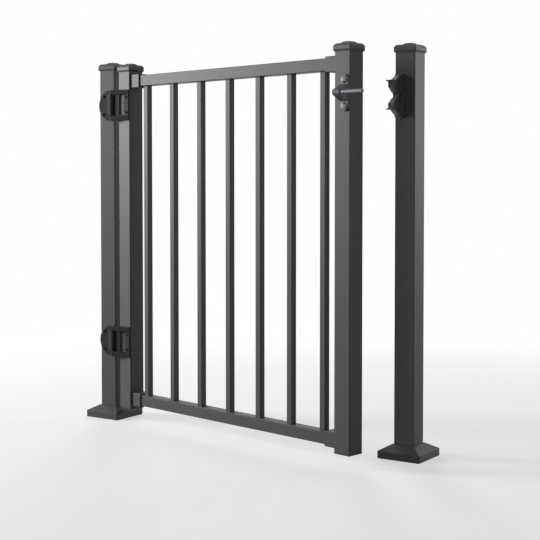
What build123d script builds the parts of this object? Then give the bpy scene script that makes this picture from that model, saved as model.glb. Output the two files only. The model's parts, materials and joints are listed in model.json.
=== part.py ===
from build123d import *
import os

# Aluminium deck gate: a picket leaf hung on two barrel hinges between two surface-mounted posts.
# X runs from the hinge post to the latch post, -Y is the deck side that the leaf opens to, Z is up.
# The origin is on the deck, under the middle of the hinge post. All sizes are millimetres.

# Leaf and its opening
leaf_width = 818.0
hinge_gap = 16.0  # between the hinge post and the leaf
latch_gap = 11.0  # between the closed leaf and the latch post
ajar_angle = 11.4  # degrees that the leaf stands open

# Posts
post_size = 50.8
post_wall = 2.5
post_corner = 2.0
post_rise = 6.5  # top end of a post above the top end of a stile

# Base plates under the posts and the skirts that cover them
plate_size = 102.0
plate_thickness = 10.0
plate_corner = 4.0
bolt_spacing = 78.0
bolt_hole = 10.5
skirt_wall = 2.5
skirt_height = 31.0
skirt_rim = 16.5  # height of the upright sides below the slope
skirt_collar = 3.0  # width of the flat top round the post
skirt_corner = 3.5
skirt_plate_clearance = 0.8
skirt_post_clearance = 0.3

# Caps on posts and stiles
cap_overhang = 3.2
cap_corner = 2.0
cap_foot_overhang = 0.8
cap_waist_low = 4.5  # the widest band of the rim begins here
cap_waist_high = 12.0
cap_rim = 18.0
cap_shoulder = 1.5  # how far the rim's top edge lies inside the tube's face
cap_crown = 4.5
cap_crown_foot = 29.0  # width of the crown where it leaves the rim's top
cap_crown_top = 18.0  # width of the flat on top of the crown
cap_roof = 5.0  # metal between the tube's end and the rim's top
cap_clearance = 0.2

# Stiles
stile_size = 45.0
stile_wall = 2.2
stile_corner = 1.6
stile_rise = 24.5  # top end of a stile above the top rail
foot_bottom = 29.5  # underside of the leaf above the deck
foot_flange = 3.0
foot_spigot = 14.0
foot_spigot_wall = 2.0
foot_clearance = 0.2

# Rails and the sockets that hold their ends
rail_size = 28.6
rail_wall = 1.8
rail_corner = 1.5
top_rail_top = 917.5  # height of the guard above the deck
bottom_rail_rise = 14.0  # underside of the bottom rail above the underside of the leaf
socket_length = 33.0
socket_wall = 3.3
socket_floor = 3.0
socket_corner = 2.0
socket_clearance = 0.2

# Balusters
baluster_count = 7
baluster_size = 15.9
baluster_wall = 1.3
baluster_corner = 1.0
baluster_end_gap = 41.5  # clear gap from a stile to the first baluster
baluster_clearance = 0.2
baluster_headroom = 2.0  # space above a baluster inside the top rail

# Hinges
upper_hinge_drop = 76.0  # middle of the upper hinge below the top of the top rail
lower_hinge_rise = 167.0  # middle of the lower hinge above the underside of the bottom rail
hinge_height = 80.0
knuckle_end = 12.0  # height of the leaf's knuckle at each end of the barrel
knuckle_gap = 0.5
knuckle_clearance = 1.0  # between the leaf's knuckles and the post's hinge plate
barrel_diameter = 18.0
axis_out = 11.0  # hinge axis in front of the post's face
axis_beyond = 2.5  # hinge axis beyond the post's side face
pin_diameter = 8.0
pin_clearance = 0.05
pin_head_diameter = 13.0
pin_head_height = 2.0
pin_head_gap = 0.2
pin_head_bevel = 1.2
post_leaf_inset = 4.0
post_leaf_round = 31.0  # depth of the rounded end of the post's hinge plate
post_leaf_thickness = 11.0
post_leaf_edge = 3.0
post_leaf_web = 8.0
gate_leaf_thickness = 4.0
gate_leaf_strap = 19.0
gate_leaf_reach = 44.5  # far edge of the leaf's hinge plate from the edge of the stile

# Striker on the leaf and catch on the latch post
latch_drop = 81.0  # bar below the top of the top rail
bar_diameter = 10.5
bar_out = 26.0  # middle of the bar in front of the stile's face
bar_tail = 19.0  # bar's near end from the stile's inner edge
bar_length = 86.0
bar_bevel = 2.0
bar_fit = 0.05
striker_height = 82.0
striker_width = 24.0
striker_edge = 1.0  # from the striker's plate to the stile's latch edge
striker_thickness = 5.0
striker_bevel = 1.5
nose_width = 20.0
nose_root = 38.0
nose_diameter = 15.0
catch_height = 102.0
catch_width = 21.0
catch_inset = 1.0
catch_plate = 5.0
catch_corner = 6.0
claw_width = 14.0
claw_root = 96.0  # height of the claws where they leave the plate
claw_neck = 33.0  # where the claws end their taper, in front of the post's face
claw_jaw = 43.0  # mouth of the guide, in front of the post's face
claw_mouth = 38.0  # height of that mouth
claw_lip = 59.0  # between the inner sides of the two horns at their roots
claw_reach = 55.0  # tips of the horns, in front of the post's face
claw_spread = 67.0  # between the outer sides of the two horns
claw_tip = 1.5
notch_clearance = 1.5

# Places worked out from the sizes above
stile_top = top_rail_top + stile_rise
post_top = stile_top + post_rise
bottom_rail_bottom = foot_bottom + bottom_rail_rise
upper_hinge_z = top_rail_top - upper_hinge_drop
lower_hinge_z = bottom_rail_bottom + lower_hinge_rise
latch_z = top_rail_top - latch_drop
post_half = post_size / 2
post_front = -post_half
latch_post_x = post_size + hinge_gap + leaf_width + latch_gap
leaf_left = post_half + hinge_gap
leaf_right = leaf_left + leaf_width
leaf_middle_y = post_front + stile_size / 2
hinge_stile_x = leaf_left + stile_size / 2
latch_stile_x = leaf_right - stile_size / 2
bay_left = leaf_left + stile_size
bay_right = leaf_right - stile_size
axis_x = post_half + axis_beyond
axis_y = post_front - axis_out
bar_y = post_front - bar_out
foot_top = foot_bottom + foot_flange
skirt_size = plate_size + 2 * (skirt_plate_clearance + skirt_wall)
knuckle_mid = hinge_height - 2 * (knuckle_end + knuckle_gap)


def face_plane(z):
    """Plane on the deck-side faces: local x along X, local y up, growing towards the deck."""
    return Plane((0, post_front, z), x_dir=(1, 0, 0), z_dir=(0, -1, 0))


def cross_plane(x, z):
    """Plane across the row: local x along Y, local y up, growing along X."""
    return Plane((x, 0, z), x_dir=(0, 1, 0), z_dir=(1, 0, 0))


def square_tube(size, wall, corner, length):
    """Upright square tube that stands on the XY plane."""
    inner = size - 2 * wall
    return extrude(RectangleRounded(size, size, corner) - Rectangle(inner, inner), length)


def frustum(bottom, top, low_size, high_size):
    """Square block with flat sloping sides between two heights."""
    height = top - bottom
    near = (low_size - high_size) / 2
    far = low_size - near
    block = Wedge(low_size, height, low_size, near, near, far, far, rotation=(90, 0, 0))
    return Pos(0, 0, (bottom + top) / 2) * block


def base_plate():
    plate = extrude(RectangleRounded(plate_size, plate_size, plate_corner), plate_thickness)
    hole = extrude(Circle(bolt_hole / 2), plate_thickness)
    return plate - [place * hole for place in GridLocations(bolt_spacing, bolt_spacing, 2, 2)]


def base_skirt():
    """Hollow cover with a sloped top that slides down the post over the base plate."""
    passage = post_size + 2 * skirt_post_clearance
    collar = passage + 2 * skirt_collar
    inner = skirt_size - 2 * skirt_wall
    inner_rim = skirt_rim - skirt_wall / 2
    block = extrude(Rectangle(skirt_size, skirt_size), skirt_rim)
    block += frustum(skirt_rim, skirt_height, skirt_size, collar)
    block &= extrude(RectangleRounded(skirt_size, skirt_size, skirt_corner), skirt_height)
    hollow = extrude(Rectangle(inner, inner), inner_rim)
    hollow += frustum(inner_rim, skirt_height - skirt_wall, inner, passage)
    return block - hollow - extrude(Rectangle(passage, passage), skirt_height)


def tube_cap(size):
    """Cap with a bevelled rim and a low crown, standing on the end of a tube at height zero."""
    foot = cap_roof - cap_rim
    low = foot + cap_waist_low
    high = foot + cap_waist_high
    waist = size + 2 * cap_overhang
    rim = frustum(foot, low, size + 2 * cap_foot_overhang, waist)
    rim += frustum(low, high, waist, waist)
    rim += frustum(high, cap_roof, waist, size - 2 * cap_shoulder)
    rim &= extrude(Pos(0, 0, foot) * RectangleRounded(waist, waist, cap_corner), cap_rim)
    crown_top = cap_roof + cap_crown
    crown = frustum(cap_roof, crown_top, cap_crown_foot, cap_crown_top)
    inside = size + 2 * cap_clearance
    return rim + crown - extrude(Rectangle(inside, inside), foot)


def stile_foot():
    """Plug in the lower end of a stile, with its flange under the tube."""
    flange = extrude(RectangleRounded(stile_size, stile_size, stile_corner), foot_flange)
    width = stile_size - 2 * (stile_wall + foot_clearance)
    inside = width - 2 * foot_spigot_wall
    spigot = extrude(Rectangle(width, width) - Rectangle(inside, inside), foot_spigot)
    return flange + Pos(0, 0, foot_flange) * spigot


def baluster_places():
    """X of each baluster, evenly spaced between the two end gaps."""
    first = bay_left + baluster_end_gap + baluster_size / 2
    last = bay_right - baluster_end_gap - baluster_size / 2
    pitch = (last - first) / (baluster_count - 1)
    return [first + pitch * index for index in range(baluster_count)]


def rail(bottom, punched_wall):
    """Square tube between the stiles, punched for the balusters in the wall at the given height."""
    start = bay_left + socket_floor
    length = bay_right - bay_left - 2 * socket_floor
    inner = rail_size - 2 * rail_wall
    section = RectangleRounded(rail_size, rail_size, rail_corner) - Rectangle(inner, inner)
    middle = cross_plane(start, bottom + rail_size / 2) * Pos(leaf_middle_y, 0)
    punch_size = baluster_size + 2 * baluster_clearance
    punch = extrude(Rectangle(punch_size, punch_size), rail_wall)
    holes = [Pos(x, leaf_middle_y, punched_wall) * punch for x in baluster_places()]
    return extrude(middle * section, length) - holes


def rail_socket(x, bottom, side):
    """Cup on a stile's face that takes a rail's end, opening towards the given side."""
    outer_size = rail_size + 2 * (socket_wall + socket_clearance)
    inner_size = rail_size + 2 * socket_clearance
    plane = Plane(
        (x, leaf_middle_y, bottom + rail_size / 2), x_dir=(0, side, 0), z_dir=(side, 0, 0)
    )
    cup = extrude(plane * RectangleRounded(outer_size, outer_size, socket_corner), socket_length)
    pocket = extrude(plane.offset(socket_floor) * Rectangle(inner_size, inner_size), socket_length)
    return cup - pocket


def baluster(x):
    bottom = bottom_rail_bottom + rail_wall
    length = top_rail_top - rail_wall - baluster_headroom - bottom
    tube = square_tube(baluster_size, baluster_wall, baluster_corner, length)
    return Pos(x, leaf_middle_y, bottom) * tube


def barrel_section(root_left, root_right, thickness):
    """Plan of a knuckle: the barrel joined by tangents to a plate on the deck-side face."""
    barrel = Pos(axis_x, axis_y) * Circle(barrel_diameter / 2)
    root = Pos((root_left + root_right) / 2, post_front - thickness / 2)
    root *= Rectangle(root_right - root_left, thickness)
    return make_hull(barrel.edges() + root.edges())


def pin_bore(z):
    bore = Cylinder(pin_diameter / 2 + pin_clearance, 2 * hinge_height)
    return Pos(axis_x, axis_y, z) * bore


def hinge_post_leaf(z):
    """Plate with a rounded end on the post, carrying the middle knuckle."""
    half = hinge_height / 2
    left = -post_half + post_leaf_inset
    right = axis_x - barrel_diameter / 2 - knuckle_clearance
    flat = left + post_leaf_round
    outline = Polyline((flat, -half), (right, -half), (right, half), (flat, half))
    outline += ThreePointArc((flat, half), (left, 0), (flat, -half))
    plate = extrude(face_plane(z) * make_face(outline), post_leaf_thickness)
    plate = chamfer(plate.faces().sort_by(Axis.Y)[0].edges(), post_leaf_edge)
    web = barrel_section(right - post_leaf_web, right - post_leaf_edge, post_leaf_thickness)
    knuckle = extrude(Pos(0, 0, z - knuckle_mid / 2) * web, knuckle_mid)
    return plate + knuckle - pin_bore(z)


def hinge_gate_leaf(z):
    """Strap on the hinge stile with an arm and a knuckle at each end of the barrel."""
    right = leaf_left + gate_leaf_reach
    strap_left = right - gate_leaf_strap
    strap = face_plane(z) * Pos((strap_left + right) / 2, 0) * Rectangle(gate_leaf_strap, hinge_height)
    leaf = extrude(strap, gate_leaf_thickness)
    arm = barrel_section(strap_left, right, gate_leaf_thickness)
    for bottom in (z - hinge_height / 2, z + hinge_height / 2 - knuckle_end):
        leaf += extrude(Pos(0, 0, bottom) * arm, knuckle_end)
    return leaf - pin_bore(z)


def hinge_pin(z):
    """Pin through the three knuckles with a low bevelled head at each end."""
    shank_length = hinge_height + 2 * pin_head_gap
    head = Cylinder(pin_head_diameter / 2, pin_head_height)
    lift = (shank_length + pin_head_height) / 2
    top = chamfer(head.edges().group_by(Axis.Z)[-1], pin_head_bevel)
    bottom = chamfer(head.edges().group_by(Axis.Z)[0], pin_head_bevel)
    pin = Cylinder(pin_diameter / 2, shank_length) + Pos(0, 0, lift) * top + Pos(0, 0, -lift) * bottom
    return Pos(axis_x, axis_y, z) * pin


def striker_bracket():
    """Round-ended plate on the latch stile with a tapered nose that holds the bar."""
    middle = leaf_right - striker_edge - striker_width / 2
    pad = face_plane(latch_z) * Pos(middle, 0) * SlotOverall(striker_height, striker_width, rotation=90)
    plate = extrude(pad, striker_thickness)
    plate = chamfer(plate.faces().sort_by(Axis.Y)[0].edges(), striker_bevel)
    hub = Pos(bar_y, 0) * Circle(nose_diameter / 2)
    root = Pos(post_front - striker_thickness / 2, 0) * Rectangle(striker_thickness, nose_root)
    section = cross_plane(middle - nose_width / 2, latch_z) * make_hull(hub.edges() + root.edges())
    bore_start = cross_plane(middle - nose_width, latch_z) * Pos(bar_y, 0)
    bore = extrude(bore_start * Circle(bar_diameter / 2 + bar_fit), 2 * nose_width)
    return plate + extrude(section, nose_width) - bore


def striker_bar():
    start = leaf_right - stile_size + bar_tail
    section = cross_plane(start, latch_z) * Pos(bar_y, 0) * Circle(bar_diameter / 2)
    bar = extrude(section, bar_length)
    return chamfer(bar.edges().filter_by(GeomType.CIRCLE), bar_bevel)


def latch_catch():
    """Plate on the latch post with two horned claws that guide the bar into a round notch."""
    middle = latch_post_x - post_half + catch_inset + catch_width / 2
    pad = face_plane(latch_z) * Pos(middle, 0) * RectangleRounded(catch_width, catch_height, catch_corner)
    plate = extrude(pad, catch_plate)
    notch = bar_diameter / 2 + notch_clearance
    horn = claw_spread / 2
    lower = [
        (bar_y, -notch),
        (post_front - claw_jaw, -claw_mouth / 2),
        (post_front - claw_jaw, -claw_lip / 2),
        (post_front - claw_reach, claw_tip - horn),
        (post_front - claw_reach, -horn),
        (post_front - claw_neck, -horn),
        (post_front - catch_plate, -claw_root / 2),
    ]
    upper = [(y, -z) for y, z in reversed(lower)]
    outline = Polyline(*lower, *upper) + ThreePointArc(upper[-1], (bar_y + notch, 0), lower[0])
    claws = cross_plane(middle - claw_width / 2, latch_z) * make_face(outline)
    return plate + extrude(claws, claw_width)


def post_pieces(name, x):
    """Tube, base plate, skirt and cap of one post."""
    tube = square_tube(post_size, post_wall, post_corner, post_top - plate_thickness)
    return {
        name: Pos(x, 0, plate_thickness) * tube,
        name + "_base_plate": Pos(x, 0, 0) * base_plate(),
        name + "_skirt": Pos(x, 0, 0) * base_skirt(),
        name + "_cap": Pos(x, 0, post_top) * tube_cap(post_size),
    }


def stile_pieces(name, x):
    """Tube, cap and lower plug of one stile of the closed leaf."""
    tube = square_tube(stile_size, stile_wall, stile_corner, stile_top - foot_top)
    return {
        name: Pos(x, leaf_middle_y, foot_top) * tube,
        name + "_cap": Pos(x, leaf_middle_y, stile_top) * tube_cap(stile_size),
        name + "_foot": Pos(x, leaf_middle_y, foot_bottom) * stile_foot(),
    }


def fixed_pieces():
    """Both posts and the hardware on them."""
    pieces = post_pieces("hinge_post", 0) | post_pieces("latch_post", latch_post_x)
    for name, z in (("upper", upper_hinge_z), ("lower", lower_hinge_z)):
        pieces[name + "_hinge_post_leaf"] = hinge_post_leaf(z)
        pieces[name + "_hinge_pin"] = hinge_pin(z)
    pieces["latch_catch"] = latch_catch()
    return pieces


def leaf_pieces():
    """Every piece of the leaf, as it lies when the gate is closed."""
    top_rail_bottom = top_rail_top - rail_size
    pieces = stile_pieces("hinge_stile", hinge_stile_x) | stile_pieces("latch_stile", latch_stile_x)
    pieces["top_rail"] = rail(top_rail_bottom, top_rail_bottom)
    pieces["bottom_rail"] = rail(bottom_rail_bottom, bottom_rail_bottom + rail_size - rail_wall)
    for name, bottom in (("top_rail", top_rail_bottom), ("bottom_rail", bottom_rail_bottom)):
        pieces[name + "_hinge_socket"] = rail_socket(bay_left, bottom, 1)
        pieces[name + "_latch_socket"] = rail_socket(bay_right, bottom, -1)
    for index, x in enumerate(baluster_places(), start=1):
        pieces[f"baluster_{index}"] = baluster(x)
    for name, z in (("upper", upper_hinge_z), ("lower", lower_hinge_z)):
        pieces[name + "_hinge_gate_leaf"] = hinge_gate_leaf(z)
    pieces["striker_bracket"] = striker_bracket()
    pieces["striker_bar"] = striker_bar()
    return pieces


hinge_axis = Axis((axis_x, axis_y, 0), (0, 0, 1))
os.makedirs("parts", exist_ok=True)
for name, piece in fixed_pieces().items():
    export_step(piece, f"parts/{name}.step")
for name, piece in leaf_pieces().items():
    export_step(piece.rotate(hinge_axis, -ajar_angle), f"parts/{name}.step")
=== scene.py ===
import json
import logging
import math
from dataclasses import dataclass, field
from enum import Enum

import bpy
from mathutils import Matrix, Vector


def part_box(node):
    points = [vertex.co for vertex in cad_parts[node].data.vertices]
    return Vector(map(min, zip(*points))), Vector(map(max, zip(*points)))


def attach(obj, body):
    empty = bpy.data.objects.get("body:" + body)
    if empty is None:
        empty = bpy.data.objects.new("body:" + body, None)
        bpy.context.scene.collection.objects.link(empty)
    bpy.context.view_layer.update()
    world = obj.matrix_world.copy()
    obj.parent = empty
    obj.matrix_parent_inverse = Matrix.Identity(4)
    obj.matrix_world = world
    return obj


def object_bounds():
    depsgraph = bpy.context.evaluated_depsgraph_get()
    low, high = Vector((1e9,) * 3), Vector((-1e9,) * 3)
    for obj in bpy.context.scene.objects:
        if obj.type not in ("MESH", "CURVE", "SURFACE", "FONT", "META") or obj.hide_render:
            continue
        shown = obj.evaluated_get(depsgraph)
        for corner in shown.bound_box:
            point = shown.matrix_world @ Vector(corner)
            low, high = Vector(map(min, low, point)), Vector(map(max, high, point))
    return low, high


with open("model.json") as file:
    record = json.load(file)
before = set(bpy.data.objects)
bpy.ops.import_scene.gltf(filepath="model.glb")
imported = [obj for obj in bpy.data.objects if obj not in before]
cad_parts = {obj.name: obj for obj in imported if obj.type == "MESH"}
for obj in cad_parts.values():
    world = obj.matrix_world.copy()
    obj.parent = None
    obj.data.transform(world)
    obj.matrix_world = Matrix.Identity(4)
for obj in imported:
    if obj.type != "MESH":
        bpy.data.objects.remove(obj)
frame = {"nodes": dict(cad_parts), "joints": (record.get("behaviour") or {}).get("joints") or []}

# Dresses an aluminium deck gate: finishes for its posts, leaf and hardware, the heads of the screws
# and bolts that hold the hardware, and a plain studio. Lengths are metres in the frame of the packed
# model, unless their names end in mm.

CAD_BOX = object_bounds()
IMAGE_SIDE = 540
MM = 0.001
WHITE = "#ffffff"
# Directions in the frame: from the hinge post to the latch post, up, to the side that the leaf opens
# to, and away from it.
ALONG_ROW = Vector((1, 0, 0))
UPWARD = Vector((0, 0, 1))
DECK_SIDE = Vector((0, -1, 0))
FAR_SIDE = Vector((0, 1, 0))
log = logging.getLogger("gate")


class Body(Enum):
    """The two rigid bodies of the gate."""

    POSTS = "posts"
    LEAF = "leaf"


class Slot(Enum):
    """Names of the record's material slots that belong with the finishes of the new pieces."""

    HARDWARE = "hardware_coat"
    STEEL = "pin_steel"


def linear(hex_colour: str) -> tuple[float, float, float, float]:
    """Turns an sRGB hex colour into linear values.

    Args:
        hex_colour: Six hex digits after a hash sign.

    Returns:
        Linear red, green and blue, and an alpha of one.
    """
    channels = [int(hex_colour[start:start + 2], 16) / 255 for start in (1, 3, 5)]
    # The standard sRGB curve: straight near black, a power above it.
    red, green, blue = (
        value / 12.92 if value <= 0.04045 else ((value + 0.055) / 1.055) ** 2.4 for value in channels
    )
    return red, green, blue, 1.0


def per_metre(size_mm: float) -> float:
    """Texture scale at which one feature of a pattern is as wide as the given millimetres."""
    return 1 / (size_mm * MM)


def add_node(tree: bpy.types.NodeTree, kind: str, settings: dict[str, object] | None = None,
             inputs: dict[str | int, object] | None = None) -> bpy.types.Node:
    """Adds a node with its settings and links.

    Args:
        tree: Node tree that gets the node.
        kind: Blender's type name of the node.
        settings: Properties of the node by name.
        inputs: Values of input sockets, or the output sockets linked to them, by name or index.

    Returns:
        The new node.
    """
    node = tree.nodes.new(kind)
    for name, value in (settings or {}).items():
        setattr(node, name, value)
    for key, value in (inputs or {}).items():
        if isinstance(value, bpy.types.NodeSocket):
            tree.links.new(value, node.inputs[key])
        else:
            node.inputs[key].default_value = value
    return node


def blank_material(name: str) -> bpy.types.Material:
    """Makes a material whose node tree is still empty.

    Args:
        name: Name of the material.

    Returns:
        The material.
    """
    material = bpy.data.materials.new(name)
    material.use_nodes = True
    material.node_tree.nodes.clear()
    return material


def seen_directly(tree: bpy.types.NodeTree) -> bpy.types.NodeSocket:
    """Tells what the eye meets, also in a mirror or through glass, from what only lights the gate.

    Args:
        tree: Shader tree that gets the nodes.

    Returns:
        A socket that is one for a camera, glossy or transmission ray, and zero for any other.
    """
    ray = add_node(tree, "ShaderNodeLightPath").outputs
    mirrored = add_node(tree, "ShaderNodeMath", {"operation": "MAXIMUM"}, {
        0: ray["Is Camera Ray"], 1: ray["Is Glossy Ray"],
    })
    through = add_node(tree, "ShaderNodeMath", {"operation": "MAXIMUM"}, {
        0: mirrored.outputs[0], 1: ray["Is Transmission Ray"],
    })
    return through.outputs[0]


def link_object(name: str, data: bpy.types.ID) -> bpy.types.Object:
    """Puts a mesh, lamp or camera into the scene.

    Args:
        name: Name of the object.
        data: What the object holds.

    Returns:
        The object, at the origin.
    """
    holder = bpy.data.objects.new(name, data)
    bpy.context.scene.collection.objects.link(holder)
    return holder


@dataclass(frozen=True)
class PowderCoat:
    """Sprayed and baked polyester powder: an even satin coat with a fine orange peel in the gloss.

    Attributes:
        name: Name of the material.
        dark: Colour in the thinner places of the coat.
        pale: Colour in the thicker places of the coat.
        edge: Colour of the pale line along a sharp edge: partly the real thinner coat where the powder
            pulls back, partly a painted highlight along the edge.
        rough_low: Roughness on the smooth tops of the peel.
        rough_high: Roughness in the hollows of the peel.
        specular: Specular level of the resin.
        peel_mm: Width of one dimple of the peel. Real peel is 0.5 to 1 mm wide, which is too fine for
            the render, so it is drawn coarser.
        peel_depth_mm: Depth of the peel.
        peel_detail: Octaves of the noise that draws the peel.
        peel_hollow: Value of that noise in the hollows.
        peel_top: Value of that noise on the tops.
        peel_share: How much of the change of colour follows the peel instead of the spray.
        cloud_mm: Width of the slow changes of tone left by the spray gun.
        cloud_detail: Octaves of the noise that draws these changes.
        arris_mm: Radius that the coat gives a sharp edge.
        arris_samples: Rays that feel for an edge near by.
        arris_start: Cosine of the bend of the surface at which the edge's colour starts.
        arris_full: Cosine of the bend at which that colour is full.
    """

    name: str
    dark: str
    pale: str
    edge: str
    rough_low: float
    rough_high: float
    specular: float
    peel_mm: float = 2.0
    peel_depth_mm: float = 0.012
    peel_detail: float = 2.0
    peel_hollow: float = 0.3
    peel_top: float = 0.7
    peel_share: float = 0.15
    cloud_mm: float = 70.0
    cloud_detail: float = 3.0
    arris_mm: float = 0.9
    arris_samples: int = 6
    arris_start: float = 0.98
    arris_full: float = 0.85

    def material(self) -> bpy.types.Material:
        """Builds the material.

        Returns:
            The node material.
        """
        material = blank_material(self.name)
        tree = material.node_tree
        place = add_node(tree, "ShaderNodeTexCoord").outputs["Object"]
        cloud = add_node(tree, "ShaderNodeTexNoise", inputs={
            "Vector": place, "Scale": per_metre(self.cloud_mm), "Detail": self.cloud_detail,
        })
        peel = add_node(tree, "ShaderNodeTexNoise", inputs={
            "Vector": place, "Scale": per_metre(self.peel_mm), "Detail": self.peel_detail,
        })
        tone = add_node(tree, "ShaderNodeMix", {"data_type": "FLOAT"}, {
            "Factor": self.peel_share, "A": cloud.outputs["Fac"], "B": peel.outputs["Fac"],
        })
        film = add_node(tree, "ShaderNodeMix", {"data_type": "RGBA"}, {
            "Factor": tone.outputs["Result"], "A": linear(self.dark), "B": linear(self.pale),
        })
        soft = add_node(tree, "ShaderNodeBevel", {"samples": self.arris_samples}, {
            "Radius": self.arris_mm * MM,
        })
        flat = add_node(tree, "ShaderNodeNewGeometry").outputs["Normal"]
        bend = add_node(tree, "ShaderNodeVectorMath", {"operation": "DOT_PRODUCT"}, {
            0: soft.outputs["Normal"], 1: flat,
        })
        # Pale line along sharp edges: the thinner coat there, and a painted highlight along the edge.
        thin_coat_and_sheen_mask = add_node(tree, "ShaderNodeMapRange", inputs={
            "Value": bend.outputs["Value"], "From Min": self.arris_start, "From Max": self.arris_full,
        })
        colour = add_node(tree, "ShaderNodeMix", {"data_type": "RGBA"}, {
            "Factor": thin_coat_and_sheen_mask.outputs["Result"], "A": film.outputs["Result"], "B": linear(self.edge),
        })
        rough = add_node(tree, "ShaderNodeMapRange", inputs={
            "Value": peel.outputs["Fac"], "From Min": self.peel_hollow, "From Max": self.peel_top,
            "To Min": self.rough_high, "To Max": self.rough_low,
        })
        relief = add_node(tree, "ShaderNodeBump", inputs={
            "Height": peel.outputs["Fac"], "Strength": 1.0, "Distance": self.peel_depth_mm * MM,
            "Normal": soft.outputs["Normal"],
        })
        shader = add_node(tree, "ShaderNodeBsdfPrincipled", inputs={
            "Base Color": colour.outputs["Result"], "Roughness": rough.outputs["Result"],
            "Normal": relief.outputs["Normal"], "Specular IOR Level": self.specular,
        })
        add_node(tree, "ShaderNodeOutputMaterial", inputs={"Surface": shader.outputs["BSDF"]})
        return material


@dataclass(frozen=True)
class TurnedSteel:
    """Turned steel rod under a thin black oxide: grey metal with fine rings across its length.

    Attributes:
        name: Name of the material.
        along: Direction of the rod, or of the axis of a head.
        dark: Colour in the tool marks.
        pale: Colour between the tool marks.
        rough_low: Roughness between the tool marks.
        rough_high: Roughness in the tool marks.
        ring_mm: Spacing of the tool marks, drawn coarser than the real 0.1 mm feed so that it shows.
        ring_depth_mm: Depth of the tool marks.
        ring_detail: Octaves of the noise that draws the tool marks.
    """

    name: str
    along: Vector
    dark: str = "#55575a"
    pale: str = "#6e7074"
    rough_low: float = 0.42
    rough_high: float = 0.56
    ring_mm: float = 0.8
    ring_depth_mm: float = 0.01
    ring_detail: float = 2.0

    def material(self) -> bpy.types.Material:
        """Builds the material.

        Returns:
            The node material.
        """
        material = blank_material(self.name)
        tree = material.node_tree
        place = add_node(tree, "ShaderNodeTexCoord").outputs["Object"]
        distance = add_node(tree, "ShaderNodeVectorMath", {"operation": "DOT_PRODUCT"}, {
            0: place, 1: self.along,
        })
        rings = add_node(tree, "ShaderNodeTexNoise", {"noise_dimensions": "1D"}, {
            "W": distance.outputs["Value"], "Scale": per_metre(self.ring_mm), "Detail": self.ring_detail,
        })
        colour = add_node(tree, "ShaderNodeMix", {"data_type": "RGBA"}, {
            "Factor": rings.outputs["Fac"], "A": linear(self.dark), "B": linear(self.pale),
        })
        rough = add_node(tree, "ShaderNodeMapRange", inputs={
            "Value": rings.outputs["Fac"], "To Min": self.rough_high, "To Max": self.rough_low,
        })
        relief = add_node(tree, "ShaderNodeBump", inputs={
            "Height": rings.outputs["Fac"], "Strength": 1.0, "Distance": self.ring_depth_mm * MM,
        })
        shader = add_node(tree, "ShaderNodeBsdfPrincipled", inputs={
            "Base Color": colour.outputs["Result"], "Roughness": rough.outputs["Result"],
            "Normal": relief.outputs["Normal"], "Metallic": 1.0,
        })
        add_node(tree, "ShaderNodeOutputMaterial", inputs={"Surface": shader.outputs["BSDF"]})
        return material


@dataclass(frozen=True)
class MouldedNylon:
    """Black nylon from a spark-eroded mould: an even matt black with a pebbled grain.

    Attributes:
        name: Name of the material.
        dark: Colour in the hollows of the grain.
        pale: Colour on the tops of the grain.
        rough_low: Roughness on the tops of the grain.
        rough_high: Roughness in the hollows of the grain.
        grain_mm: Width of one pebble, drawn coarser than the real 0.2 mm so that it shows.
        grain_depth_mm: Depth of the grain.
    """

    name: str = "moulded_black_nylon"
    dark: str = "#1e1f21"
    pale: str = "#2c2d2f"
    rough_low: float = 0.5
    rough_high: float = 0.7
    grain_mm: float = 1.2
    grain_depth_mm: float = 0.05

    def material(self) -> bpy.types.Material:
        """Builds the material.

        Returns:
            The node material.
        """
        material = blank_material(self.name)
        tree = material.node_tree
        place = add_node(tree, "ShaderNodeTexCoord").outputs["Object"]
        grain = add_node(tree, "ShaderNodeTexVoronoi", {"feature": "SMOOTH_F1"}, {
            "Vector": place, "Scale": per_metre(self.grain_mm),
        })
        colour = add_node(tree, "ShaderNodeMix", {"data_type": "RGBA"}, {
            "Factor": grain.outputs["Distance"], "A": linear(self.pale), "B": linear(self.dark),
        })
        rough = add_node(tree, "ShaderNodeMapRange", inputs={
            "Value": grain.outputs["Distance"], "To Min": self.rough_low, "To Max": self.rough_high,
        })
        relief = add_node(tree, "ShaderNodeBump", {"invert": True}, {
            "Height": grain.outputs["Distance"], "Strength": 1.0, "Distance": self.grain_depth_mm * MM,
        })
        shader = add_node(tree, "ShaderNodeBsdfPrincipled", inputs={
            "Base Color": colour.outputs["Result"], "Roughness": rough.outputs["Result"],
            "Normal": relief.outputs["Normal"],
        })
        add_node(tree, "ShaderNodeOutputMaterial", inputs={"Surface": shader.outputs["BSDF"]})
        return material


@dataclass(frozen=True)
class Seat:
    """A place for a head.

    Attributes:
        point: The point under the head's middle.
        facing: The way that the head faces.
    """

    point: Vector
    facing: Vector


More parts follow.
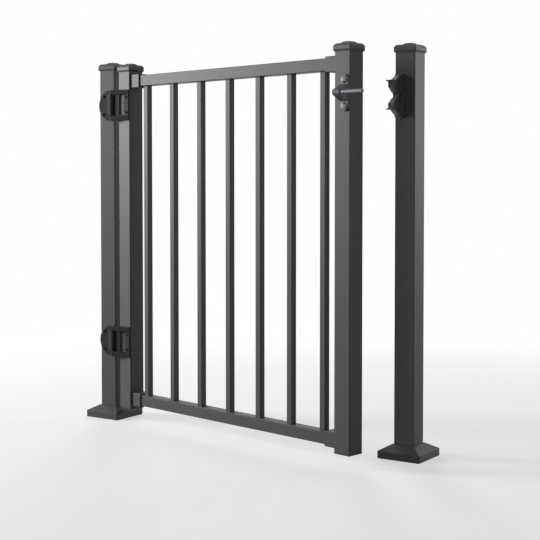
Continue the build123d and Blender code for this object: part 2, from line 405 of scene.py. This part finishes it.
@dataclass(frozen=True)
class Swing:
    """The turn of the leaf from closed to the pose in which it stands.

    Attributes:
        turn: Takes a point of the closed leaf to its place on the leaf as it stands.
    """

    turn: Matrix

    @classmethod
    def of_gate(cls) -> "Swing":
        """Reads the turn from the gate's only joint, whose lower limit is closed.

        Returns:
            The swing.
        """
        joint = frame["joints"][0]
        pivot = Matrix.Translation(Vector(joint["pos_m"]))
        angle = -math.radians(joint["range_deg"][0])
        return cls(pivot @ Matrix.Rotation(angle, 4, Vector(joint["axis"])) @ pivot.inverted())

    def closed_box(self, node: str) -> tuple[Vector, Vector]:
        """Box of a leaf's node as it lies when the gate is closed.

        Args:
            node: Name of the node.

        Returns:
            Lowest and highest corner.
        """
        back = self.turn.inverted()
        points = [back @ vertex.co for vertex in frame["nodes"][node].data.vertices]
        low = Vector(min(point[axis] for point in points) for axis in range(3))
        high = Vector(max(point[axis] for point in points) for axis in range(3))
        return low, high

    def turned(self, direction: Vector) -> Vector:
        """Turns a direction on the closed leaf to the leaf as it stands."""
        return self.turn.to_3x3() @ direction

    def opened(self, seat: Seat) -> Seat:
        """Moves a seat from the closed leaf to the leaf as it stands."""
        return Seat(self.turn @ seat.point, self.turned(seat.facing))


@dataclass(frozen=True)
class Finishes:
    """The gate's materials.

    Attributes:
        coat: Coat of the posts and the leaf.
        hinge: Dull coat of the hinges and the screws.
        latch: Glossier coat of the striker's bracket and the catch.
        pin: Steel of the hinge pins.
        bar: Steel of the striker bar.
        bolt: Steel of the bolts beside the bar.
        plug: Plastic of the plugs under the stiles.
    """

    coat: bpy.types.Material
    hinge: bpy.types.Material
    latch: bpy.types.Material
    pin: bpy.types.Material
    bar: bpy.types.Material
    bolt: bpy.types.Material
    plug: bpy.types.Material

    @classmethod
    def make(cls, swing: Swing) -> "Finishes":
        """Builds every finish once.

        Args:
            swing: Turn of the leaf, which the striker bar and its bolts have too.

        Returns:
            The finishes, ready to assign.
        """
        # In each coat the edge colour is the thinner powder on sharp edges and a painted highlight along
        # them.
        # Charcoal powder on smooth extruded tube: a satin grey that pales where it mirrors a light.
        coat = PowderCoat(
            "charcoal_powder_coated_aluminium", dark="#505153", pale="#58595b", edge="#66676a",
            rough_low=0.455, rough_high=0.485, specular=0.3,
        )
        # Black powder on steel: dull all over, so the hinges stand dark against the tubes.
        hinge = PowderCoat(
            "black_powder_coated_steel", dark="#343537", pale="#3b3c3e", edge="#48494c",
            rough_low=0.56, rough_high=0.61, specular=0.1,
        )
        # Charcoal powder on a casting: glossier than on the tubes, with soft lights along its ridges.
        latch = PowderCoat(
            "charcoal_powder_coated_casting", dark="#525356", pale="#5a5b5e", edge="#6a6b6e",
            rough_low=0.38, rough_high=0.43, specular=0.5,
        )
        # Black oxide leaves the turned rods grey with a metal's sheen, and the bolts paler and duller.
        pin = TurnedSteel("black_oxide_steel_pin", UPWARD)
        bar = TurnedSteel("black_oxide_steel_bar", swing.turned(ALONG_ROW))
        bolt = TurnedSteel(
            "black_oxide_steel_bolt", swing.turned(DECK_SIDE), dark="#6c6e72", pale="#888a8f",
            rough_low=0.58, rough_high=0.68,
        )
        # The plugs keep the matt black of their plastic.
        plug = MouldedNylon()
        return cls(*(finish.material() for finish in (coat, hinge, latch, pin, bar, bolt, plug)))


def dress(node: str, material: bpy.types.Material) -> None:
    """Gives a node of the frame its finish.

    Args:
        node: Name of the node.
        material: The finish.
    """
    for material_slot in frame["nodes"][node].material_slots:
        material_slot.material = material
    log.info("%s dressed in %s", node, material.name)


@dataclass
class Heads:
    """Heads of one kind of fastener, set on seats by Geometry Nodes. Each kind gives its own shape.

    Attributes:
        head: Diameter of a head.
        rise: Height of a head.
        sides: Segments round a head.
        facing: Name of the attribute that holds the way a head faces.
    """

    head: float
    rise: float
    sides: int = 24
    facing: str = "facing"

    def sizes(self) -> dict[str, float]:
        """Sizes of a head by the names of the tree's inputs."""
        return {"Head": self.head, "Rise": self.rise}

    def shape(self, tree: bpy.types.NodeTree, given: bpy.types.NodeOutputs) -> bpy.types.NodeSocket:
        """Builds one head, standing on the XY plane.

        Args:
            tree: Geometry tree that gets the nodes.
            given: The tree's inputs.

        Returns:
            The socket with the head's mesh.
        """
        raise NotImplementedError

    def tree(self) -> bpy.types.NodeTree:
        """Builds the tree that puts a head on every seat.

        Returns:
            The tree, with the seats, the sizes and the finish as named inputs.
        """
        tree = bpy.data.node_groups.new(type(self).__name__, "GeometryNodeTree")
        tree.interface.new_socket("Seats", in_out="INPUT", socket_type="NodeSocketGeometry")
        for name in self.sizes():
            tree.interface.new_socket(name, in_out="INPUT", socket_type="NodeSocketFloat")
        tree.interface.new_socket("Finish", in_out="INPUT", socket_type="NodeSocketMaterial")
        tree.interface.new_socket("Heads", in_out="OUTPUT", socket_type="NodeSocketGeometry")
        given = add_node(tree, "NodeGroupInput").outputs
        facing = add_node(tree, "GeometryNodeInputNamedAttribute", {"data_type": "FLOAT_VECTOR"}, {
            "Name": self.facing,
        })
        turn = add_node(tree, "FunctionNodeAlignRotationToVector", {"axis": "Z"}, {
            "Vector": facing.outputs["Attribute"],
        })
        placed = add_node(tree, "GeometryNodeInstanceOnPoints", inputs={
            "Points": given["Seats"], "Instance": self.shape(tree, given),
            "Rotation": turn.outputs["Rotation"],
        })
        real = add_node(tree, "GeometryNodeRealizeInstances", inputs={
            "Geometry": placed.outputs["Instances"],
        })
        dressed = add_node(tree, "GeometryNodeSetMaterial", inputs={
            "Geometry": real.outputs["Geometry"], "Material": given["Finish"],
        })
        add_node(tree, "NodeGroupOutput", inputs={"Heads": dressed.outputs["Geometry"]})
        return tree

    def build(self, name: str, seats: list[Seat], material: bpy.types.Material, slot: Slot,
              body: Body) -> bpy.types.Object:
        """Sets a head on every seat and makes them one plain mesh on a body.

        Args:
            name: Name of the piece.
            seats: Where the heads go, at rest.
            material: Finish of the heads.
            slot: Slot of that finish. Not used.
            body: Body that carries them.

        Returns:
            The piece.
        """
        points = bpy.data.meshes.new(name + "_seats")
        points.from_pydata([seat.point for seat in seats], [], [])
        facing = points.attributes.new(self.facing, "FLOAT_VECTOR", "POINT")
        for index, seat in enumerate(seats):
            facing.data[index].vector = seat.facing
        piece = link_object(name, points)
        modifier = piece.modifiers.new("heads", "NODES")
        modifier.node_group = self.tree()
        values = {**self.sizes(), "Finish": material}
        for item in modifier.node_group.interface.items_tree:
            if item.in_out == "INPUT" and item.name in values:
                modifier[item.identifier] = values[item.name]
        depsgraph = bpy.context.evaluated_depsgraph_get()
        mesh = bpy.data.meshes.new_from_object(piece.evaluated_get(depsgraph))
        piece.modifiers.remove(modifier)
        piece.data = mesh
        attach(piece, body.value)
        log.info("%s: %d heads on the %s", name, len(seats), body.value)
        return piece


@dataclass
class SocketScrews(Heads):
    """Button-head screws with a hexagon socket.

    Attributes:
        flat: Diameter of the flat on top of a head.
        key: Width of the hexagon socket across its corners.
        key_depth: Depth of the hexagon socket.
        key_sides: Sides of the socket.
    """

    head: float = 8.0 * MM
    rise: float = 2.6 * MM
    flat: float = 5.0 * MM
    key: float = 3.6 * MM
    key_depth: float = 1.6 * MM
    key_sides: int = 6

    def sizes(self) -> dict[str, float]:
        """Sizes of a head by the names of the tree's inputs."""
        return {**super().sizes(), "Flat": self.flat, "Key": self.key, "Key depth": self.key_depth}

    def shape(self, tree: bpy.types.NodeTree, given: bpy.types.NodeOutputs) -> bpy.types.NodeSocket:
        """Builds a bevelled disc with a hexagon sunk into its top.

        Args:
            tree: Geometry tree that gets the nodes.
            given: The tree's inputs.

        Returns:
            The socket with the head's mesh.
        """
        half = {}
        for name in ("Head", "Flat", "Key"):
            halving = add_node(tree, "ShaderNodeMath", {"operation": "MULTIPLY"}, {
                0: given[name], 1: 0.5,
            })
            half[name] = halving.outputs[0]
        disc = add_node(tree, "GeometryNodeMeshCone", inputs={
            "Vertices": self.sides, "Radius Bottom": half["Head"], "Radius Top": half["Flat"],
            "Depth": given["Rise"],
        })
        hexagon = add_node(tree, "GeometryNodeMeshCylinder", inputs={
            "Vertices": self.key_sides, "Radius": half["Key"], "Depth": given["Rise"],
        })
        floor = add_node(tree, "ShaderNodeMath", {"operation": "SUBTRACT"}, {
            0: given["Rise"], 1: given["Key depth"],
        })
        lift = add_node(tree, "ShaderNodeMath", {"operation": "MULTIPLY_ADD"}, {
            0: given["Rise"], 1: 0.5, 2: floor.outputs[0],
        })
        upward = add_node(tree, "ShaderNodeCombineXYZ", inputs={"Z": lift.outputs[0]})
        raised = add_node(tree, "GeometryNodeTransform", inputs={
            "Geometry": hexagon.outputs["Mesh"], "Translation": upward.outputs["Vector"],
        })
        socketed = add_node(tree, "GeometryNodeMeshBoolean", {"operation": "DIFFERENCE"}, {
            "Mesh 1": disc.outputs["Mesh"], "Mesh 2": raised.outputs["Geometry"],
        })
        return socketed.outputs["Mesh"]


@dataclass
class DomeBolts(Heads):
    """Bolts with a plain domed head, whose square neck sits in the plate.

    Attributes:
        rings: Segments from the base to the top of the full ball that the dome is cut from.
        seam: How far below the ball's middle a point may lie and still be kept.
        base_slope: Faces that look further down than this are the flat base, which stays unsmoothed.
    """

    head: float = 17.0 * MM
    rise: float = 5.0 * MM
    rings: int = 16
    seam: float = 0.001 * MM
    base_slope: float = -0.5

    def shape(self, tree: bpy.types.NodeTree, given: bpy.types.NodeOutputs) -> bpy.types.NodeSocket:
        """Builds a flattened half ball, closed under its base.

        Args:
            tree: Geometry tree that gets the nodes.
            given: The tree's inputs.

        Returns:
            The socket with the head's mesh.
        """
        half = add_node(tree, "ShaderNodeMath", {"operation": "MULTIPLY"}, {0: given["Head"], 1: 0.5})
        ball = add_node(tree, "GeometryNodeMeshUVSphere", inputs={
            "Segments": self.sides, "Rings": self.rings, "Radius": half.outputs[0],
        })
        place = add_node(tree, "ShaderNodeSeparateXYZ", inputs={
            "Vector": add_node(tree, "GeometryNodeInputPosition").outputs["Position"],
        })
        under = add_node(tree, "FunctionNodeCompare", {"operation": "LESS_THAN"}, {
            "A": place.outputs["Z"], "B": -self.seam,
        })
        upper = add_node(tree, "GeometryNodeDeleteGeometry", inputs={
            "Geometry": ball.outputs["Mesh"], "Selection": under.outputs["Result"],
        })
        squeeze = add_node(tree, "ShaderNodeMath", {"operation": "DIVIDE"}, {
            0: given["Rise"], 1: half.outputs[0],
        })
        low = add_node(tree, "GeometryNodeTransform", inputs={
            "Geometry": upper.outputs["Geometry"],
            "Scale": add_node(tree, "ShaderNodeCombineXYZ", inputs={
                "X": 1.0, "Y": 1.0, "Z": squeeze.outputs[0],
            }).outputs["Vector"],
        })
        closed = add_node(tree, "GeometryNodeConvexHull", inputs={"Geometry": low.outputs["Geometry"]})
        normal = add_node(tree, "ShaderNodeSeparateXYZ", inputs={
            "Vector": add_node(tree, "GeometryNodeInputNormal").outputs["Normal"],
        })
        domed = add_node(tree, "FunctionNodeCompare", {"operation": "GREATER_THAN"}, {
            "A": normal.outputs["Z"], "B": self.base_slope,
        })
        smooth = add_node(tree, "GeometryNodeSetShadeSmooth", {"domain": "FACE"}, {
            "Geometry": closed.outputs["Convex Hull"], "Selection": domed.outputs["Result"],
        })
        return smooth.outputs["Geometry"]


@dataclass
class Posts:
    """Hinge post and latch post with their base plates, skirts and caps.

    Attributes:
        names: Names of the two tubes.
        pieces: What follows a tube's name in the names of the tube and the pieces on it.
    """

    names: tuple[str, ...] = ("hinge_post", "latch_post")
    pieces: tuple[str, ...] = ("", "_base_plate", "_skirt", "_cap")

    def dress(self, finishes: Finishes) -> None:
        """Gives both posts the coat.

        Args:
            finishes: The gate's materials.
        """
        for name in self.names:
            for piece in self.pieces:
                dress(name + piece, finishes.coat)


@dataclass
class Leaf:
    """Stiles, rails, sockets and balusters of the swinging leaf, and the screws of its sockets.

    Attributes:
        swing: Turn of the leaf from closed.
        balusters: How many balusters it has.
        screw_inset: From a stile to the screw of a socket.
        sides: The two ends of the leaf, as its stiles and sockets are named.
        rails: Names of the two rails.
    """

    swing: Swing
    balusters: int = 7
    screw_inset: float = 13.0 * MM
    sides: tuple[str, ...] = ("hinge", "latch")
    rails: tuple[str, ...] = ("top_rail", "bottom_rail")

    def sockets(self) -> list[str]:
        """Names of the four rail sockets."""
        return [f"{rail}_{side}_socket" for rail in self.rails for side in self.sides]

    def dress(self, finishes: Finishes) -> None:
        """Gives the leaf the coat, and its two lower plugs nylon.

        Args:
            finishes: The gate's materials.
        """
        for side in self.sides:
            dress(f"{side}_stile", finishes.coat)
            dress(f"{side}_stile_cap", finishes.coat)
            dress(f"{side}_stile_foot", finishes.plug)
        for name in (*self.rails, *self.sockets()):
            dress(name, finishes.coat)
        for index in range(1, self.balusters + 1):
            dress(f"baluster_{index}", finishes.coat)

    def seats(self) -> list[Seat]:
        """One screw on the far side of each socket, which holds the rail's end.

        Returns:
            The seats at rest.
        """
        seats = []
        for name in self.sockets():
            low, high = self.swing.closed_box(name)
            x = low.x + self.screw_inset if "hinge" in name else high.x - self.screw_inset
            seats.append(Seat(Vector((x, high.y, (low.z + high.z) / 2)), FAR_SIDE))
        return [self.swing.opened(seat) for seat in seats]


@dataclass
class Hinges:
    """Upper and lower hinge: a plate on the post, a strap on the stile, a pin, and their screws.

    Attributes:
        swing: Turn of the leaf from closed.
        names: The two hinges, as their pieces are named.
        plate_thickness: Thickness of the plate on the post.
        plate_inset: From the round end of that plate to its screws.
        plate_rise: From the middle of that plate to a screw.
        strap_thickness: Thickness of the strap on the stile.
        strap_inset: From the far edge of the strap to its screws.
        strap_rise: From the middle of the strap to a screw.
    """

    swing: Swing
    names: tuple[str, ...] = ("upper", "lower")
    plate_thickness: float = 11.0 * MM
    plate_inset: float = 19.0 * MM
    plate_rise: float = 24.0 * MM
    strap_thickness: float = 4.0 * MM
    strap_inset: float = 8.0 * MM
    strap_rise: float = 20.0 * MM

    def dress(self, finishes: Finishes) -> None:
        """Gives the plates and straps the black coat, and the pins black oxide.

        Args:
            finishes: The gate's materials.
        """
        for name in self.names:
            dress(f"{name}_hinge_post_leaf", finishes.hinge)
            dress(f"{name}_hinge_gate_leaf", finishes.hinge)
            dress(f"{name}_hinge_pin", finishes.pin)

    def post_seats(self) -> list[Seat]:
        """Two screws through each plate into the post.

        Returns:
            The seats at rest.
        """
        seats = []
        for name in self.names:
            low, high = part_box(f"{name}_hinge_post_leaf")
            middle = (low.z + high.z) / 2
            for z in (middle - self.plate_rise, middle + self.plate_rise):
                point = Vector((low.x + self.plate_inset, high.y - self.plate_thickness, z))
                seats.append(Seat(point, DECK_SIDE))
        return seats

    def leaf_seats(self) -> list[Seat]:
        """Two screws through each strap into the stile.

        Returns:
            The seats at rest.
        """
        seats = []
        for name in self.names:
            low, high = self.swing.closed_box(f"{name}_hinge_gate_leaf")
            middle = (low.z + high.z) / 2
            for z in (middle - self.strap_rise, middle + self.strap_rise):
                point = Vector((high.x - self.strap_inset, high.y - self.strap_thickness, z))
                seats.append(self.swing.opened(Seat(point, DECK_SIDE)))
        return seats


@dataclass
class Latch:
    """Striker on the leaf with its bolts, and catch on the latch post with its screw.

    Attributes:
        swing: Turn of the leaf from closed.
        striker_thickness: Thickness of the striker's plate.
        striker_rise: From the bar to a bolt of the striker.
        claw_inset: From the side of the catch's plate to the side of its claws.
        claw_screw_out: From the post's face to the screw through the root of the claws.
    """

    swing: Swing
    striker_thickness: float = 5.0 * MM
    striker_rise: float = 29.0 * MM
    claw_inset: float = 3.5 * MM
    claw_screw_out: float = 12.0 * MM

    def dress(self, finishes: Finishes) -> None:
        """Gives the striker's bracket and the catch the glossier coat, and the bar black oxide.

        Args:
            finishes: The gate's materials.
        """
        dress("striker_bracket", finishes.latch)
        dress("latch_catch", finishes.latch)
        dress("striker_bar", finishes.bar)

    def leaf_seats(self) -> list[Seat]:
        """One bolt in each round end of the striker's plate.

        Returns:
            The seats at rest.
        """
        low, high = self.swing.closed_box("striker_bracket")
        middle = (low + high) / 2
        seats = []
        for z in (middle.z - self.striker_rise, middle.z + self.striker_rise):
            point = Vector((middle.x, high.y - self.striker_thickness, z))
            seats.append(self.swing.opened(Seat(point, DECK_SIDE)))
        return seats

    def post_seats(self) -> list[Seat]:
        """Both ends of the screw through the root of the catch's claws.

        Returns:
            The seats at rest.
        """
        low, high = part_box("latch_catch")
        y = high.y - self.claw_screw_out
        z = (low.z + high.z) / 2
        return [
            Seat(Vector((low.x + self.claw_inset, y, z)), -ALONG_ROW),
            Seat(Vector((high.x - self.claw_inset, y, z)), ALONG_ROW),
        ]


@dataclass
class Softbox:
    """A square soft light that is aimed at a point.

    Attributes:
        name: Name of the lamp.
        place: Where it stands.
        aim: What it points at.
        side: Length of a side.
        power: Power in watts.
        mirrored: Whether the gate's gloss shows it.
    """

    name: str
    place: Vector
    aim: Vector
    side: float
    power: float
    mirrored: bool = True

    def build(self) -> bpy.types.Object:
        """Makes the lamp.

        Returns:
            The lamp's object.
        """
        lamp = bpy.data.lights.new(self.name, "AREA")
        lamp.shape = "SQUARE"
        lamp.size = self.side
        lamp.energy = self.power
        holder = link_object(self.name, lamp)
        holder.visible_glossy = self.mirrored
        holder.location = self.place
        holder.rotation_euler = (self.aim - self.place).to_track_quat("-Z", "Y").to_euler()
        return holder


@dataclass
class Studio:
    """White floor and surroundings, three soft lights and the camera of the photograph.

    Attributes:
        softboxes: The lamps: a low one beside the hinge post, a weak one behind the latch post, and
            one behind the hinge post for the far side of the gate.
        fill: Strength of the even light from all round.
        floor_half: Half the width of the floor.
        floor_bounce: Colour of the floor to the light that it throws back at the gate.
        floor_paint: Colour of the floor to the eye.
        floor_glow: Light added to the floor for the eye, which leaves the gate's shadow soft.
        floor_seen: Distance from the middle of the gate at which the floor starts to fade to white.
        floor_gone: Distance at which it has faded.
        camera_place: Where the camera stands.
        camera_azimuth: Turn of the camera about the vertical, in degrees.
        camera_pitch: Look down of the camera, in degrees.
        camera_lens: Focal length in millimetres.
        horizon_pixel: Row of the image at the camera's own height.
    """

    softboxes: tuple[Softbox, ...] = (
        Softbox(
            "key", place=Vector((-4.05, -2.05, 1.5)), aim=Vector((0.4, -0.05, 0.6)),
            side=1.4, power=205.0,
        ),
        Softbox(
            "back", place=Vector((2.2, 3.9, 1.2)), aim=Vector((0.9, 0.0, 0.6)),
            side=1.4, power=27.0,
        ),
        Softbox(
            "far", place=Vector((-2.3, 3.6, 1.7)), aim=Vector((0.4, 0.0, 0.5)),
            side=1.4, power=90.0, mirrored=False,
        ),
    )
    fill: float = 0.12
    floor_half: float = 6.0
    floor_bounce: str = "#585858"
    floor_paint: str = "#c8c8c8"
    floor_glow: float = 0.55
    floor_seen: float = 1.1
    floor_gone: float = 2.4
    camera_place: Vector = field(default_factory=lambda: Vector((2.1896, -2.5357, 0.6535)))
    camera_azimuth: float = 33.54
    camera_pitch: float = 2.2
    camera_lens: float = 81.6
    horizon_pixel: float = 175.8

    def camera(self) -> bpy.types.Object:
        """Makes the camera. Part of its look down is a shift, which keeps the uprights upright.

        Returns:
            The camera's object.
        """
        data = bpy.data.cameras.new("photo_camera")
        data.lens = self.camera_lens
        drop = (IMAGE_SIDE / 2 - self.horizon_pixel) / IMAGE_SIDE
        turned = math.tan(math.radians(self.camera_pitch)) * data.lens / data.sensor_width
        data.shift_y = turned - drop
        holder = link_object("photo_camera", data)
        holder.location = self.camera_place
        upright = 90 - self.camera_pitch
        holder.rotation_euler = (math.radians(upright), 0, math.radians(self.camera_azimuth))
        bpy.context.scene.camera = holder
        return holder

    def world(self) -> None:
        """White to the eye and in reflections, and a weak even fill for everything else."""
        world = bpy.data.worlds.new("studio")
        bpy.context.scene.world = world
        world.use_nodes = True
        tree = world.node_tree
        tree.nodes.clear()
        strength = add_node(tree, "ShaderNodeMapRange", inputs={
            "Value": seen_directly(tree), "To Min": self.fill, "To Max": 1.0,
        })
        light = add_node(tree, "ShaderNodeBackground", inputs={
            "Color": linear(WHITE), "Strength": strength.outputs["Result"],
        })
        add_node(tree, "ShaderNodeOutputWorld", inputs={"Surface": light.outputs["Background"]})

    def floor_material(self) -> bpy.types.Material:
        """Matt floor paint, white to the eye and greyer to the light that it throws back.

        Returns:
            The node material.
        """
        material = blank_material("white_floor_paint")
        tree = material.node_tree
        bounce = add_node(tree, "ShaderNodeBsdfDiffuse", inputs={"Color": linear(self.floor_bounce)})
        paint = add_node(tree, "ShaderNodeBsdfDiffuse", inputs={"Color": linear(self.floor_paint)})
        glow = add_node(tree, "ShaderNodeEmission", inputs={
            "Color": linear(WHITE), "Strength": self.floor_glow,
        })
        lit = add_node(tree, "ShaderNodeAddShader", inputs={
            0: paint.outputs["BSDF"], 1: glow.outputs["Emission"],
        })
        white = add_node(tree, "ShaderNodeEmission", inputs={"Color": linear(WHITE), "Strength": 1.0})
        middle = (CAD_BOX[0] + CAD_BOX[1]) / 2
        centred = add_node(tree, "ShaderNodeVectorMath", {"operation": "SUBTRACT"}, {
            0: add_node(tree, "ShaderNodeTexCoord").outputs["Object"], 1: (middle.x, middle.y, 0),
        })
        away = add_node(tree, "ShaderNodeVectorMath", {"operation": "LENGTH"}, {
            0: centred.outputs["Vector"],
        })
        fade = add_node(tree, "ShaderNodeMapRange", {"interpolation_type": "SMOOTHSTEP"}, {
            "Value": away.outputs["Value"], "From Min": self.floor_seen, "From Max": self.floor_gone,
        })
        shown = add_node(tree, "ShaderNodeMixShader", inputs={
            0: fade.outputs["Result"], 1: lit.outputs["Shader"], 2: white.outputs["Emission"],
        })
        surface = add_node(tree, "ShaderNodeMixShader", inputs={
            0: seen_directly(tree), 1: bounce.outputs["BSDF"], 2: shown.outputs["Shader"],
        })
        add_node(tree, "ShaderNodeOutputMaterial", inputs={"Surface": surface.outputs["Shader"]})
        return material

    def floor(self) -> bpy.types.Object:
        """White floor that keeps the shadow of the gate and fades into the white surroundings.

        Returns:
            The floor's object.
        """
        half = self.floor_half
        mesh = bpy.data.meshes.new("floor")
        corners = [(-half, -half, 0), (half, -half, 0), (half, half, 0), (-half, half, 0)]
        mesh.from_pydata(corners, [], [(0, 1, 2, 3)])
        mesh.materials.append(self.floor_material())
        floor = link_object("floor", mesh)
        return floor

    def build(self) -> None:
        """Sets up the whole studio."""
        bpy.context.scene.view_settings.view_transform = "Standard"
        self.world()
        self.floor()
        for softbox in self.softboxes:
            softbox.build()
        self.camera()


def main() -> None:
    """Dresses every sub-assembly, adds the screws and bolts and sets up the studio."""
    logging.basicConfig(level=logging.INFO)
    swing = Swing.of_gate()
    finishes = Finishes.make(swing)
    leaf = Leaf(swing)
    hinges = Hinges(swing)
    latch = Latch(swing)
    for part in (Posts(), leaf, hinges, latch):
        part.dress(finishes)
    screws = SocketScrews()
    bolts = DomeBolts()
    post_seats = hinges.post_seats() + latch.post_seats()
    leaf_seats = hinges.leaf_seats() + leaf.seats()
    screws.build("post_screws", post_seats, finishes.hinge, Slot.HARDWARE, Body.POSTS)
    screws.build("leaf_screws", leaf_seats, finishes.hinge, Slot.HARDWARE, Body.LEAF)
    bolts.build("striker_bolts", latch.leaf_seats(), finishes.bolt, Slot.STEEL, Body.LEAF)
    Studio().build()


if __name__ == "__main__":
    main()
